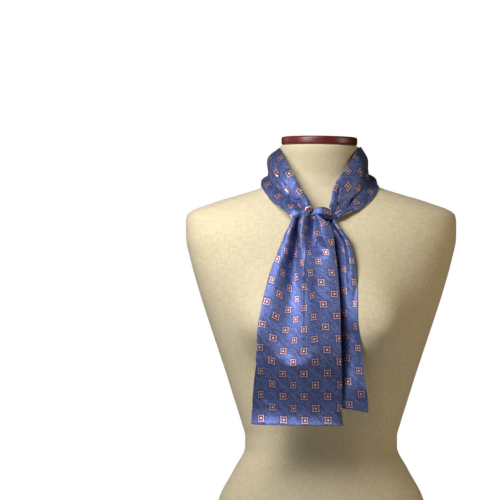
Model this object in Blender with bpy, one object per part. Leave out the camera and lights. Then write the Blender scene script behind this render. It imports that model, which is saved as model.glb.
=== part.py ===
"""A cravat tied once round the neck of a limbless dress form.

The cravat is one long rectangle of light silk. Its middle, doubled lengthwise, goes round the
neck, and its two ends come together in front in a once-over knot and hang as a front tail and a
back tail. The dress form is a smooth body from hip to neck with a turned wooden cap.

Metres, +Z up. The front of the form faces -Y and the wearer's right hand side is at -X. The
origin is the middle of the flat underside that the form stands on. The tables below are in
millimetres, with a row for each height, station or fold and a name for each column.
"""

import math

import bmesh
import bpy
import numpy as np
from mathutils import Vector

MM = 0.001

# Driving sizes of the cloth.
TAIL_WALL = 1.2 * MM
BAND_WALL = 2.0 * MM
SEAM_GAP = 0.3 * MM
REST_GAP = 0.8 * MM

# How finely the shapes are worked out.
PROBE = 0.5 * MM
CLEARING_ROUNDS = 4
HEADING_STEP = 0.1

# Driving sizes of the form.
NECK_TOP = 660.7 * MM
CAP_BOTTOM = 661.0 * MM
CAP_TOP = 673.0 * MM
CAP_HALF_WIDTH = 56.4 * MM
CAP_HALF_DEPTH = 57.5 * MM
CAP_CENTRE_Y = -7.0 * MM
CAP_EDGE_ROUND = 3.0 * MM
CAP_SEGMENTS = 56
BASE_EDGE_ROUND = 6.0 * MM
NECK_EDGE_ROUND = 3.0 * MM
EDGE_ROUND_STEPS = 3
FORM_SEGMENTS = 48

# Sections of the form: half its width, how far it reaches to the front and to the back of the
# plumb line through the origin, and how square the section is (2 is an ellipse).
FORM_COLUMNS = "height half_width front back squareness"
FORM_SECTIONS = (
    (0.0, 170.5, 99.0, 113.0, 2.25),
    (30.0, 170.5, 99.5, 114.5, 2.25),
    (65.0, 167.5, 98.5, 114.0, 2.25),
    (100.0, 161.0, 96.5, 109.0, 2.2),
    (137.5, 151.3, 93.0, 100.0, 2.2),
    (181.0, 128.4, 89.5, 88.0, 2.2),
    (213.5, 113.0, 88.0, 82.0, 2.2),
    (228.4, 113.0, 88.0, 81.0, 2.2),
    (248.5, 118.2, 89.0, 81.0, 2.2),
    (281.0, 128.4, 92.0, 82.0, 2.2),
    (319.3, 140.4, 98.0, 84.0, 2.2),
    (363.4, 155.0, 106.0, 86.0, 2.25),
    (407.7, 169.7, 108.5, 89.0, 2.3),
    (446.0, 181.8, 107.5, 92.0, 2.4),
    (493.0, 194.7, 101.0, 94.0, 2.5),
    (522.5, 200.7, 93.5, 92.0, 2.5),
    (546.0, 201.2, 83.0, 88.0, 2.4),
    (557.8, 199.2, 76.0, 84.0, 2.3),
    (565.0, 190.4, 71.5, 81.0, 2.2),
    (572.6, 169.7, 67.0, 78.0, 2.15),
    (581.5, 143.2, 61.5, 74.5, 2.1),
    (589.0, 116.7, 57.0, 71.5, 2.1),
    (599.0, 86.7, 52.0, 67.0, 2.05),
    (612.8, 62.0, 51.0, 60.5, 2.0),
    (635.0, 56.0, 56.5, 53.5, 2.0),
    (654.5, 58.1, 62.5, 50.5, 2.0),
    (661.0, 58.1, 63.5, 50.0, 2.0),
)

# The rings that the form is lofted through: the bottom of each stretch and the rings' spacing.
RING_STRETCHES = (
    (BASE_EDGE_ROUND / MM, 24.0),
    (150.0, 17.0),
    (540.0, 6.0),
    (630.0, 9.0),
)

# The two soft swells of the bust, mirrored left and right.
BUST_HEIGHT = 394.0 * MM
BUST_AZIMUTH = math.radians(33.0)
BUST_SWELL = 38.0 * MM
BUST_SPREAD = math.radians(18.5)
BUST_SPREAD_UP = 62.0 * MM
BUST_SPREAD_DOWN = 46.0 * MM

# The tails' fold lines run from the knot to the lower hem. They are named from the hem on the
# form's right (at -X) to the hem on its left. This table says where each one lies across the
# form at each height.
FRONT_LINES = "hem_1 turn_1 crest_1 valley_1 ridge valley_2 crest_2 turn_2 hem_2"
FRONT_ACROSS = (
    (252.0, -104.4, -101.0, -88.0, -67.0, -30.0, -6.0, 9.0, 24.0, 27.6),
    (310.0, -100.8, -98.0, -86.0, -64.0, -28.5, -7.0, 8.0, 25.6, 20.0),
    (370.0, -93.0, -95.6, -84.0, -61.0, -27.5, -7.5, 7.0, 24.2, 16.0),
    (420.0, -84.0, -90.0, -80.0, -57.5, -28.0, -9.0, 6.0, 23.3, 13.0),
    (455.0, -72.0, -82.8, -75.0, -53.0, -29.7, -12.5, 4.0, 21.2, 10.0),
    (484.0, -60.0, -73.6, -67.5, -46.5, -31.6, -16.5, 2.0, 19.3, 8.0),
    (505.0, -51.0, -66.2, -60.5, -42.0, -32.2, -19.5, 0.0, 17.3, 6.0),
    (526.0, -43.5, -56.0, -50.5, -38.2, -29.6, -18.0, -1.0, 15.2, 5.0),
    (541.0, -39.5, -47.6, -43.5, -36.0, -28.0, -16.0, -2.0, 13.4, 4.0),
    (566.0, -36.0, -40.0, -37.5, -32.5, -26.0, -13.5, -4.0, 9.5, 3.0),
)

# How far each fold line lies behind the plane of the tail's crests.
FRONT_BEHIND = (
    (252.0, 1.5, 1.0, 0.0, 3.5, 0.0, 2.5, 0.0, 1.5, 2.0),
    (310.0, 2.0, 1.5, 0.0, 3.0, 0.0, 2.0, 0.0, 3.0, 4.5),
    (370.0, 4.0, 2.0, 0.0, 5.5, 0.0, 2.5, 0.0, 4.0, 7.0),
    (420.0, 6.0, 3.0, 0.0, 8.0, 0.0, 3.0, 0.0, 4.5, 8.5),
    (455.0, 9.5, 5.0, 0.0, 10.5, 0.0, 5.0, 0.0, 5.5, 10.0),
    (484.0, 13.5, 6.5, 0.0, 12.5, 0.0, 8.5, 0.0, 6.0, 11.0),
    (505.0, 16.5, 7.0, 0.0, 13.5, 0.0, 12.0, 0.0, 6.5, 12.0),
    (526.0, 17.0, 7.5, 0.0, 12.5, 0.0, 13.5, 0.0, 6.5, 12.0),
    (541.0, 15.0, 7.0, 0.5, 10.5, 0.5, 12.5, 0.0, 6.0, 11.0),
    (566.0, 9.0, 6.5, 3.0, 6.0, 2.0, 6.0, 1.0, 5.0, 8.0),
)

# Distance of that plane in front of the plumb line, at its two sides.
FRONT_PLANE_COLUMNS = "height side_1 side_2"
FRONT_PLANE = (
    (252.0, 149.5, 146.0),
    (310.0, 144.5, 143.5),
    (370.0, 143.0, 142.0),
    (420.0, 141.0, 138.0),
    (455.0, 134.0, 131.5),
    (484.0, 127.0, 125.5),
    (505.0, 122.0, 121.5),
    (526.0, 116.5, 117.0),
    (541.0, 112.0, 113.0),
    (566.0, 106.0, 107.0),
)

# The height at which each fold line of the front tail leaves the knot, and its lower end.
FRONT_ENDS = (
    ("top", 551.0, 552.0, 553.0, 555.5, 558.0, 557.5, 555.0, 548.0, 549.0),
    ("bottom", 257.5, 256.8, 256.0, 255.6, 255.2, 255.0, 254.6, 253.8, 253.4),
)

BACK_LINES = "hem_1 crest_1 valley_1 crest_2 valley_2 crest_3 hem_2"
BACK_ACROSS = (
    (270.0, -54.0, -42.0, -23.0, -1.0, 27.0, 49.0, 63.9),
    (294.0, -53.0, -41.0, -22.5, -1.5, 26.0, 48.0, 62.6),
    (325.0, -52.0, -40.0, -22.0, -2.0, 25.0, 46.0, 58.0),
    (369.0, -50.0, -39.0, -21.5, -2.5, 24.0, 44.0, 54.4),
    (412.0, -48.0, -37.0, -20.5, -2.5, 23.0, 42.0, 51.2),
    (454.0, -44.0, -33.0, -18.0, -1.5, 22.5, 40.0, 48.5),
    (489.0, -33.0, -25.0, -12.0, 1.0, 21.5, 37.5, 45.6),
    (505.0, -24.0, -17.5, -7.0, 3.0, 20.0, 35.0, 42.5),
    (518.0, -16.0, -11.0, -3.0, 5.5, 19.0, 31.5, 39.0),
    (532.0, -9.0, -5.0, 1.0, 7.0, 16.0, 24.5, 29.5),
    (551.0, -4.0, -1.0, 3.5, 7.0, 10.5, 15.0, 18.0),
)
BACK_BEHIND = (
    (270.0, 3.0, 0.0, 4.0, 0.0, 4.0, 0.0, 2.0),
    (369.0, 3.0, 0.0, 4.5, 0.0, 5.0, 0.0, 2.5),
    (454.0, 3.0, 0.0, 5.0, 0.0, 6.0, 0.0, 3.0),
    (505.0, 3.5, 0.0, 5.0, 0.0, 6.5, 0.0, 3.5),
    (551.0, 3.0, 0.0, 4.0, 0.0, 4.5, 0.0, 3.0),
)
BACK_PLANE = (
    (270.0, 133.5, 136.0),
    (369.0, 131.0, 133.0),
    (412.0, 125.0, 128.0),
    (454.0, 117.0, 121.0),
    (489.0, 109.0, 114.5),
    (505.0, 106.0, 111.5),
    (518.0, 103.0, 109.0),
    (532.0, 99.0, 103.0),
    (551.0, 92.0, 93.0),
)
BACK_ENDS = (
    ("top", 548.0, 548.0, 548.0, 548.0, 548.0, 548.0, 548.0),
    ("bottom", 279.5, 279.0, 278.8, 278.6, 278.3, 275.0, 272.2),
)

# How far, and over what length, a tail's upper end draws in under the knot.
TUCK_IN = 4.0 * MM
TUCK_LENGTH = 9.0 * MM

# Stations of the doubled band from the knot's right hand side round the nape to its left: the
# inner (upper) edge, the outer (lower) edge, how far along the band's height its main lengthwise
# crease runs, and how far the two rolls beside that crease and the crease itself stand out.
BAND_COLUMNS = (
    "inner_x inner_y inner_z outer_x outer_y outer_z"
    " crease_place inner_roll crease_out outer_roll"
)
BAND_STATIONS = (
    (-16.5, -106.0, 564.5, -43.5, -106.5, 552.0, 0.45, 3.0, -0.5, 2.5),
    (-19.5, -87.0, 577.0, -54.5, -90.0, 561.5, 0.47, 4.5, -2.0, 4.0),
    (-32.5, -72.0, 600.5, -69.0, -70.0, 572.5, 0.52, 5.5, -2.5, 4.0),
    (-44.3, -62.0, 619.5, -81.0, -46.0, 585.0, 0.60, 7.0, -2.5, 4.0),
    (-55.7, -44.0, 641.0, -88.0, -17.0, 598.0, 0.68, 8.5, -2.5, 3.5),
    (-61.0, -16.0, 655.0, -88.5, 12.0, 602.0, 0.74, 9.5, -2.0, 3.0),
    (-61.0, 15.0, 657.5, -80.0, 42.0, 606.0, 0.70, 8.0, -2.0, 3.5),
    (-43.0, 42.0, 658.0, -52.0, 66.0, 609.0, 0.60, 6.0, -2.5, 5.0),
    (0.0, 55.0, 658.5, 0.0, 75.0, 610.0, 0.52, 5.0, -2.5, 5.5),
    (43.0, 42.0, 658.0, 53.0, 65.0, 608.5, 0.55, 5.5, -2.5, 5.0),
    (60.0, 15.0, 658.0, 78.0, 38.0, 605.0, 0.66, 3.5, -4.0, 4.0),
    (54.5, -16.0, 657.0, 84.5, 8.0, 599.5, 0.74, 2.5, -5.0, 2.5),
    (47.5, -38.0, 646.0, 82.0, -22.0, 589.5, 0.76, 3.0, -4.5, 3.0),
    (40.0, -51.0, 631.0, 73.0, -50.0, 575.0, 0.68, 3.5, -4.0, 4.0),
    (27.8, -60.0, 615.5, 55.5, -72.0, 565.0, 0.58, 4.5, -3.5, 4.0),
    (15.5, -70.0, 596.0, 36.0, -84.0, 558.5, 0.52, 4.0, -3.0, 3.5),
    (12.5, -79.0, 579.0, 26.0, -88.0, 553.0, 0.50, 3.0, -1.5, 2.5),
    (9.0, -85.5, 568.0, 18.5, -87.0, 549.5, 0.50, 1.5, -0.5, 1.0),
)
# Places along the stations where the band is parted into its three stretches.
BAND_PARTINGS = (0.0, 5.5, 10.5, 17.0)
BAND_NAMES = ("band_left", "band_back", "band_right")
BAND_STEPS_PER_STATION = 3
BAND_ACROSS_STEPS = 14
INNER_ROLL_SHARE = 0.45
SHORTEST_STATION = 20.0 * MM

# The rolled wrap of the knot: its centre line and the half thickness across and along its lie.
KNOT_COLUMNS = "x y z half_height half_depth"
KNOT_STATIONS = (
    (-34.5, -87.5, 552.5, 3.0, 3.5),
    (-29.0, -89.5, 554.5, 4.6, 5.2),
    (-18.5, -89.0, 558.5, 5.4, 5.0),
    (-8.5, -91.5, 561.3, 5.4, 5.4),
    (0.5, -96.5, 561.8, 7.0, 8.2),
    (8.0, -97.0, 559.0, 7.6, 8.5),
    (14.5, -95.0, 554.5, 6.4, 6.5),
    (20.0, -92.0, 551.2, 3.4, 3.2),
)
KNOT_RING_SEGMENTS = 25
KNOT_RINGS_PER_STATION = 3
KNOT_PLEATS = 5
KNOT_PLEAT_SHARE = 0.08
KNOT_PLEAT_TWIST = 0.6

FRONT_STEPS_PER_SPAN = 4
FRONT_STEPS_ALONG = 30
BACK_STEPS_PER_SPAN = 4
BACK_STEPS_ALONG = 22

# Finishes: base colour, roughness and metallic value.
FINISHES = {
    "printed_silk": ((0.075, 0.085, 0.30, 1.0), 0.48, 0.0),
    "form_jersey": ((0.78, 0.68, 0.48, 1.0), 0.9, 0.0),
    "cap_mahogany": ((0.085, 0.018, 0.010, 1.0), 0.22, 0.0),
}


def clear_scene():
    """Remove every object that the scene holds."""
    for thing in list(bpy.data.objects):
        bpy.data.objects.remove(thing, do_unlink=True)


def finish(name):
    """Return the named material, made the first time that it is asked for."""
    material = bpy.data.materials.get(name)
    if material is None:
        colour, roughness, metallic = FINISHES[name]
        material = bpy.data.materials.new(name)
        material.use_nodes = True
        shader = material.node_tree.nodes["Principled BSDF"]
        shader.inputs["Base Color"].default_value = colour
        shader.inputs["Roughness"].default_value = roughness
        shader.inputs["Metallic"].default_value = metallic
        material.diffuse_color = colour
    return material


def add_object(name, mesh_builder, material):
    """Turn a bmesh into a named, smooth shaded object with its own copy of a material."""
    mesh = bpy.data.meshes.new(name)
    mesh_builder.to_mesh(mesh)
    mesh_builder.free()
    mesh.shade_smooth()
    thing = bpy.data.objects.new(name, mesh)
    own = finish(material).copy()
    own.name = name + "_" + material
    mesh.materials.append(own)
    bpy.context.scene.collection.objects.link(thing)
    return thing


def monotone_slopes(places, values):
    """Slopes of a smooth curve through the rows that never swings past a row's value."""
    steps = np.diff(places)[:, None]
    rises = np.diff(values, axis=0) / steps
    slopes = np.empty_like(values)
    slopes[0] = rises[0]
    slopes[-1] = rises[-1]
    same_way = rises[:-1] * rises[1:] > 0.0
    safe_low = np.where(same_way, rises[:-1], 1.0)
    safe_high = np.where(same_way, rises[1:], 1.0)
    first = 2.0 * steps[1:] + steps[:-1]
    second = steps[1:] + 2.0 * steps[:-1]
    blended = (first + second) / (first / safe_low + second / safe_high)
    slopes[1:-1] = np.where(same_way, blended, 0.0)
    return slopes


class Table:
    """Rows of named columns, read at any place along the first column by smooth curves."""

    def __init__(self, columns, rows, scale=MM):
        self.names = columns.split()[1:]
        data = np.array(rows, dtype=float) * scale
        self.places = data[:, 0]
        self.values = data[:, 1:]
        self.slopes = monotone_slopes(self.places, self.values)

    def named(self, place):
        """Every other column by its name, at a place along the first column."""
        return dict(zip(self.names, self.read(place)))

    def read(self, place):
        """Every other column in order, at a place along the first column."""
        place = min(max(place, self.places[0]), self.places[-1])
        row = int(np.searchsorted(self.places, place, side="right")) - 1
        row = min(max(row, 0), len(self.places) - 2)
        step = self.places[row + 1] - self.places[row]
        t = (place - self.places[row]) / step
        return (
            (1.0 + 2.0 * t) * (1.0 - t) ** 2 * self.values[row]
            + t * (1.0 - t) ** 2 * step * self.slopes[row]
            + t * t * (3.0 - 2.0 * t) * self.values[row + 1]
            + t * t * (t - 1.0) * step * self.slopes[row + 1]
        )


def curve_through(points, place):
    """Point at a place (0 at the first point, 1 at the second) on a smooth curve through all."""
    points = np.asarray(points)
    count = len(points)
    chords = np.maximum(np.linalg.norm(np.diff(points, axis=0), axis=1), 1e-6)
    span = min(int(place), count - 2)
    t = place - span

    def tangent(index):
        if index == 0:
            return (points[1] - points[0]) / chords[0]
        if index == count - 1:
            return (points[-1] - points[-2]) / chords[-1]
        before = (points[index] - points[index - 1]) / chords[index - 1]
        after = (points[index + 1] - points[index]) / chords[index]
        both = chords[index - 1] + chords[index]
        return (before * chords[index] + after * chords[index - 1]) / both

    start = tangent(span) * chords[span]
    end = tangent(span + 1) * chords[span]
    return (
        (1.0 + 2.0 * t) * (1.0 - t) ** 2 * points[span]
        + t * (1.0 - t) ** 2 * start
        + t * t * (3.0 - 2.0 * t) * points[span + 1]
        + t * t * (t - 1.0) * end
    )


class Stations:
    """Rows of named columns that a piece passes one after another."""

    def __init__(self, columns, rows):
        self.names = columns.split()
        self.rows = np.array(rows, dtype=float) * MM
        self.last = len(rows) - 1

    def pick(self, names):
        """The named columns of every row."""
        return self.rows[:, [self.names.index(name) for name in names.split()]]

    def curve(self, names, station):
        """The named columns read along a smooth curve through the stations."""
        return curve_through(self.pick(names), min(max(station, 0.0), self.last))

    def straight(self, names, station):
        """The named columns read along a straight line between two stations."""
        values = self.pick(names)
        row = min(int(station), self.last - 1)
        return values[row] + (values[row + 1] - values[row]) * (station - row)

    def heading(self, names, station):
        """The way that the curve through the named columns runs at a station."""
        ahead = self.curve(names, station + HEADING_STEP)
        behind = self.curve(names, station - HEADING_STEP)
        return (ahead - behind) / np.linalg.norm(ahead - behind)


FORM_TABLE = Table(FORM_COLUMNS, FORM_SECTIONS)
BAND = Stations(BAND_COLUMNS, BAND_STATIONS)
KNOT = Stations(KNOT_COLUMNS, KNOT_STATIONS)


def bust_swell(azimuth, height):
    """How far the bust stands out from the plain section, at an azimuth from the front."""
    rise = height - BUST_HEIGHT
    spread = BUST_SPREAD_UP if rise > 0.0 else BUST_SPREAD_DOWN
    level = math.exp(-((rise / spread) ** 2))
    round_about = 0.0
    for side in (-1.0, 1.0):
        turn = (azimuth - side * BUST_AZIMUTH) / BUST_SPREAD
        round_about += math.exp(-(turn ** 2))
    return BUST_SWELL * level * round_about


def form_radius(azimuth, height):
    """Distance of the form's surface from the plumb line. Azimuth 0 is the front, 90 is +X."""
    section = FORM_TABLE.named(height)
    squareness = section["squareness"] / MM
    depth = section["front"] if math.cos(azimuth) > 0.0 else section["back"]
    across = abs(math.sin(azimuth)) / section["half_width"]
    along = abs(math.cos(azimuth)) / depth
    radius = (across ** squareness + along ** squareness) ** (-1.0 / squareness)
    return radius + bust_swell(azimuth, height)


def form_point(azimuth, height, inset=0.0):
    """A point on the form's surface, or a little inside it."""
    radius = form_radius(azimuth, height) - inset
    return Vector((radius * math.sin(azimuth), -radius * math.cos(azimuth), height))


def beyond_form(point):
    """How far a point's distance from the plumb line exceeds the form's at that height."""
    x, y, z = point
    return math.hypot(x, y) - form_radius(math.atan2(x, -y), z)


def clear_of_form(point, clearance):
    """Move a point straight out from the form until it is at least the clearance off it."""
    point = np.array(point, dtype=float)
    for _ in range(CLEARING_ROUNDS):
        excess = beyond_form(point)
        slope = np.empty(3)
        for axis in range(3):
            nudged = point.copy()
            nudged[axis] += PROBE
            slope[axis] = (beyond_form(nudged) - excess) / PROBE
        steepness = float(np.linalg.norm(slope))
        distance = excess / steepness
        if distance >= clearance:
            break
        point += slope / steepness * (clearance - distance)
    return point


def ring_heights():
    """Heights of the form's rings, closer together where its outline turns quickly."""
    heights = []
    ends = [row[0] for row in RING_STRETCHES[1:]] + [(NECK_TOP - NECK_EDGE_ROUND) / MM]
    for (bottom, spacing), top in zip(RING_STRETCHES, ends):
        count = max(1, round((top - bottom) / spacing))
        heights += [bottom + (top - bottom) * step / count for step in range(count)]
    heights.append(ends[-1])
    return [height * MM for height in heights]


def quarter_round(radius):
    """Rises and insets of the rings round an edge, from the flat up to the upright side."""
    turns = [0.5 * math.pi * step / EDGE_ROUND_STEPS for step in range(EDGE_ROUND_STEPS)]
    return [(radius * (1.0 - math.cos(t)), radius * (1.0 - math.sin(t))) for t in turns]


def loft(rings):
    """A closed body through rings of equally many points, with flat ends."""
    shape = bmesh.new()
    count = len(rings[0])
    made = bmesh.ops.create_circle(shape, cap_ends=True, radius=1.0, segments=count)
    loop = sorted(made["verts"], key=lambda vert: math.atan2(vert.co.y, vert.co.x) % math.tau)
    for vert, place in zip(loop, rings[0]):
        vert.co = place
    for ring in rings[1:]:
        edges = [shape.edges.get((loop[i], loop[(i + 1) % count])) for i in range(count)]
        raised = bmesh.ops.extrude_edge_only(shape, edges=edges)
        fresh = [item for item in raised["geom"] if isinstance(item, bmesh.types.BMVert)]
        partner = {}
        for vert in fresh:
            for edge in vert.link_edges:
                other = edge.other_vert(vert)
                if other in loop:
                    partner[other] = vert
        loop = [partner[vert] for vert in loop]
        for vert, place in zip(loop, ring):
            vert.co = place
    shape.faces.new(loop)
    bmesh.ops.recalc_face_normals(shape, faces=shape.faces)
    return shape


def make_form():
    """The torso and neck: rings round the plumb line from the underside to the neck's top."""
    azimuths = [math.tau * step / FORM_SEGMENTS for step in range(FORM_SEGMENTS)]
    levels = quarter_round(BASE_EDGE_ROUND)
    levels += [(height, 0.0) for height in ring_heights()]
    levels += [(NECK_TOP - rise, inset) for rise, inset in reversed(quarter_round(NECK_EDGE_ROUND))]
    rings = []
    for height, inset in levels:
        rings.append([form_point(azimuth, height, inset) for azimuth in azimuths])
    return add_object("form_torso", loft(rings), "form_jersey")


def make_cap():
    """The turned cap on the neck: an oval disc with rounded edges."""
    edge = quarter_round(CAP_EDGE_ROUND)
    levels = [(CAP_BOTTOM + rise, inset) for rise, inset in edge]
    levels += [(CAP_BOTTOM + CAP_EDGE_ROUND, 0.0), (CAP_TOP - CAP_EDGE_ROUND, 0.0)]
    levels += [(CAP_TOP - rise, inset) for rise, inset in reversed(edge)]
    rings = []
    for height, inset in levels:
        ring = []
        for step in range(CAP_SEGMENTS):
            turn = math.tau * step / CAP_SEGMENTS
            x = (CAP_HALF_WIDTH - inset) * math.cos(turn)
            y = CAP_CENTRE_Y + (CAP_HALF_DEPTH - inset) * math.sin(turn)
            ring.append(Vector((x, y, height)))
        rings.append(ring)
    return add_object("form_neck_cap", loft(rings), "cap_mahogany")


def sheet_object(name, steps_along, steps_across, place_of, wall):
    """A wall of cloth: a grid laid on the surface that place_of(along, across) describes."""
    shape = bmesh.new()
    made = bmesh.ops.create_grid(
        shape, x_segments=steps_along, y_segments=steps_across, size=1.0
    )
    for vert in made["verts"]:
        along = (vert.co.x + 1.0) / 2.0
        across = (vert.co.y + 1.0) / 2.0
        vert.co = Vector(place_of(along, across))
    thing = add_object(name, shape, "printed_silk")
    solid = thing.modifiers.new("cloth wall", "SOLIDIFY")
    solid.thickness = wall
    solid.offset = 0.0
    solid.use_even_offset = False
    return thing


class Tail:
    """A hanging end of the cravat: its fold lines, joined across by smooth sections."""

    def __init__(self, lines, across, behind, plane, ends):
        self.across = Table("height " + lines, across)
        self.behind = Table("height " + lines, behind)
        self.plane = Table(FRONT_PLANE_COLUMNS, plane)
        self.tops = np.array(ends[0][1:]) * MM
        self.bottoms = np.array(ends[1][1:]) * MM
        self.spans = len(self.tops) - 1

    def line_point(self, line, along):
        """A point on one fold line, from the knot (0) to the lower hem (1)."""
        height = self.tops[line] + (self.bottoms[line] - self.tops[line]) * along
        across = self.across.read(height)
        x = across[line]
        side_1, side_2 = self.plane.read(height)
        share = (x - across[0]) / (across[-1] - across[0])
        plane = side_1 + (side_2 - side_1) * min(max(share, 0.0), 1.0)
        drop = self.tops[line] - height
        tuck = TUCK_IN * max(0.0, 1.0 - drop / TUCK_LENGTH) ** 2
        return (x, self.behind.read(height)[line] + tuck - plane, height)

    def place(self, along, across):
        """A point of the cloth between the two hems, kept clear of the form."""
        lines = [self.line_point(line, along) for line in range(self.spans + 1)]
        point = curve_through(lines, across * self.spans)
        return clear_of_form(point, REST_GAP + TAIL_WALL / 2.0)


def make_tails():
    """The front tail and, behind it, the back tail."""
    front = Tail(FRONT_LINES, FRONT_ACROSS, FRONT_BEHIND, FRONT_PLANE, FRONT_ENDS)
    back = Tail(BACK_LINES, BACK_ACROSS, BACK_BEHIND, BACK_PLANE, BACK_ENDS)
    sheet_object(
        "front_tail", FRONT_STEPS_ALONG, front.spans * FRONT_STEPS_PER_SPAN, front.place, TAIL_WALL
    )
    sheet_object(
        "back_tail", BACK_STEPS_ALONG, back.spans * BACK_STEPS_PER_SPAN, back.place, TAIL_WALL
    )


def band_place(station, height_share):
    """A point of the band at a place along its stations, from inner (0) to outer edge (1)."""
    inner = BAND.curve("inner_x inner_y inner_z", station)
    outer = BAND.curve("outer_x outer_y outer_z", station)
    crease = float(BAND.straight("crease_place", station)[0]) / MM
    inner_roll, crease_out, outer_roll = BAND.straight("inner_roll crease_out outer_roll", station)
    profile = (
        (0.0, 0.0),
        (INNER_ROLL_SHARE * crease, inner_roll),
        (crease, crease_out),
        (0.5 * (1.0 + crease), outer_roll),
        (1.0, 0.0),
    )
    out = Table("place out", profile, scale=1.0).named(height_share)["out"]
    outward = np.cross(BAND.heading("inner_x inner_y inner_z", station), outer - inner)
    outward /= np.linalg.norm(outward)
    point = inner + (outer - inner) * height_share + outward * out
    return clear_of_form(point, REST_GAP + BAND_WALL / 2.0)


def make_band():
    """The three stretches of the doubled band, parted by the seam gap."""
    part = SEAM_GAP / SHORTEST_STATION / 2.0
    for name, start, end in zip(BAND_NAMES, BAND_PARTINGS, BAND_PARTINGS[1:]):
        first = start + (part if start > 0.0 else 0.0)
        last = end - (part if end < BAND.last else 0.0)
        steps = round((end - start) * BAND_STEPS_PER_STATION)

        def place(along, across, first=first, last=last):
            return band_place(first + (last - first) * along, across)

        sheet_object(name, steps, BAND_ACROSS_STEPS, place, BAND_WALL)


def make_knot():
    """The wrap of the knot: a roll with shallow pleats that run along it."""
    count = KNOT.last * KNOT_RINGS_PER_STATION
    rings = []
    for step in range(count + 1):
        station = KNOT.last * step / count
        half_height, half_depth = KNOT.curve("half_height half_depth", station)
        along = Vector(KNOT.heading("x y z", station))
        depth = Vector((0.0, 0.0, 1.0)).cross(along).normalized()
        height = along.cross(depth).normalized()
        ring = []
        for turn_step in range(KNOT_RING_SEGMENTS):
            turn = math.tau * turn_step / KNOT_RING_SEGMENTS
            wave = math.cos(KNOT_PLEATS * turn + KNOT_PLEAT_TWIST * station)
            pleat = 1.0 + KNOT_PLEAT_SHARE * wave
            offset = depth * (half_depth * pleat * math.cos(turn))
            offset += height * (half_height * pleat * math.sin(turn))
            ring.append(Vector(KNOT.curve("x y z", station)) + offset)
        rings.append(ring)
    return add_object("knot", loft(rings), "printed_silk")


def main():
    clear_scene()
    make_form()
    make_cap()
    make_band()
    make_knot()
    make_tails()


main()
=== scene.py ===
# %% [markdown]
# # A cravat tied on a dress form
# The cravat is one long rectangle of light printed silk. It is doubled lengthwise for the neck,
# tied once in front, and opens out into a front tail over a back tail. Every piece is drawn from
# tables like the solid model's own, only finer, so it lies where its solid lies.

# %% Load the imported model
import math

import bmesh
import bpy
import numpy as np
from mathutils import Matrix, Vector


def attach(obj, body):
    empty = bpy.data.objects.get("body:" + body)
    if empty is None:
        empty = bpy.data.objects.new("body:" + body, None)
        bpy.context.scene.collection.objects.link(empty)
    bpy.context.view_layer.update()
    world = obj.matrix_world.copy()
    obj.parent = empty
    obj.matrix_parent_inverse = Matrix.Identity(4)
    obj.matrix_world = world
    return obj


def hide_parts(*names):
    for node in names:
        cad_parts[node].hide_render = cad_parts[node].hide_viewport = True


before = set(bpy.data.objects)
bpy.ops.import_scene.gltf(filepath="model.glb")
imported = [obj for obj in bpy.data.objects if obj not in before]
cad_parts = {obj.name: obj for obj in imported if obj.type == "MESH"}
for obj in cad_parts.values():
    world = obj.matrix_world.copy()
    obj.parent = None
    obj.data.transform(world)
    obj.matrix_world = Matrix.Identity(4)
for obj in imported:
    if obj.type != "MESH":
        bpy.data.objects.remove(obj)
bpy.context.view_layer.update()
MM = 0.001

# %% [markdown]
# ## Smooth curves through short tables
# A draped fold is known at a few heights only. Between them a cubic is drawn whose slopes never
# let it swing past a row, which is how a tailor's curve is laid through a few marks. Numpy reads
# a whole grid of places at once, so that fine cloth stays quick to make.


# %% Table reading helpers
def hermite(before, after, leave, arrive, t):
    """Cubic from one value to the next that leaves and arrives with the given slopes."""
    return (
        (1.0 + 2.0 * t) * (1.0 - t) ** 2 * before
        + t * (1.0 - t) ** 2 * leave
        + t * t * (3.0 - 2.0 * t) * after
        + t * t * (t - 1.0) * arrive
    )


def monotone_slopes(places, values):
    """Slopes of a smooth curve through the rows that never swings past a row's value."""
    steps = np.diff(places).reshape([-1] + [1] * (values.ndim - 1))
    rises = np.diff(values, axis=0) / steps
    slopes = np.empty_like(values)
    slopes[0] = rises[0]
    slopes[-1] = rises[-1]
    same_way = rises[:-1] * rises[1:] > 0.0
    safe_low = np.where(same_way, rises[:-1], 1.0)
    safe_high = np.where(same_way, rises[1:], 1.0)
    first = 2.0 * steps[1:] + steps[:-1]
    second = steps[1:] + 2.0 * steps[:-1]
    blended = (first + second) / (first / safe_low + second / safe_high)
    slopes[1:-1] = np.where(same_way, blended, 0.0)
    return slopes


def monotone_curve(places, values, at):
    """The rows read at any places, on the curve that never swings past a row."""
    slopes = monotone_slopes(places, values)
    at = np.clip(np.asarray(at, dtype=float), places[0], places[-1])
    row = np.clip(np.searchsorted(places, at, side="right") - 1, 0, len(places) - 2)
    shape = list(at.shape) + [1] * (values.ndim - 1)
    step = (places[row + 1] - places[row]).reshape(shape)
    t = (at - places[row]).reshape(shape) / step
    return hermite(values[row], values[row + 1], slopes[row] * step, slopes[row + 1] * step, t)


def curve_through(points, at):
    """Points on a smooth curve through all, at places 0 for the first, 1 for the second..."""
    chords = np.linalg.norm(np.diff(points, axis=0), axis=-1, keepdims=True)
    chords = np.maximum(chords, 1e-6)
    runs = np.diff(points, axis=0) / chords
    tangents = np.empty_like(points)
    tangents[0] = runs[0]
    tangents[-1] = runs[-1]
    both = chords[:-1] + chords[1:]
    tangents[1:-1] = (runs[:-1] * chords[1:] + runs[1:] * chords[:-1]) / both
    at = np.clip(np.asarray(at, dtype=float), 0.0, len(points) - 1.0)
    span = np.clip(at.astype(int), 0, len(points) - 2)
    t = (at - span).reshape(list(at.shape) + [1] * (points.ndim - 1))
    return hermite(points[span], points[span + 1], tangents[span] * chords[span],
                   tangents[span + 1] * chords[span], t)


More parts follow.
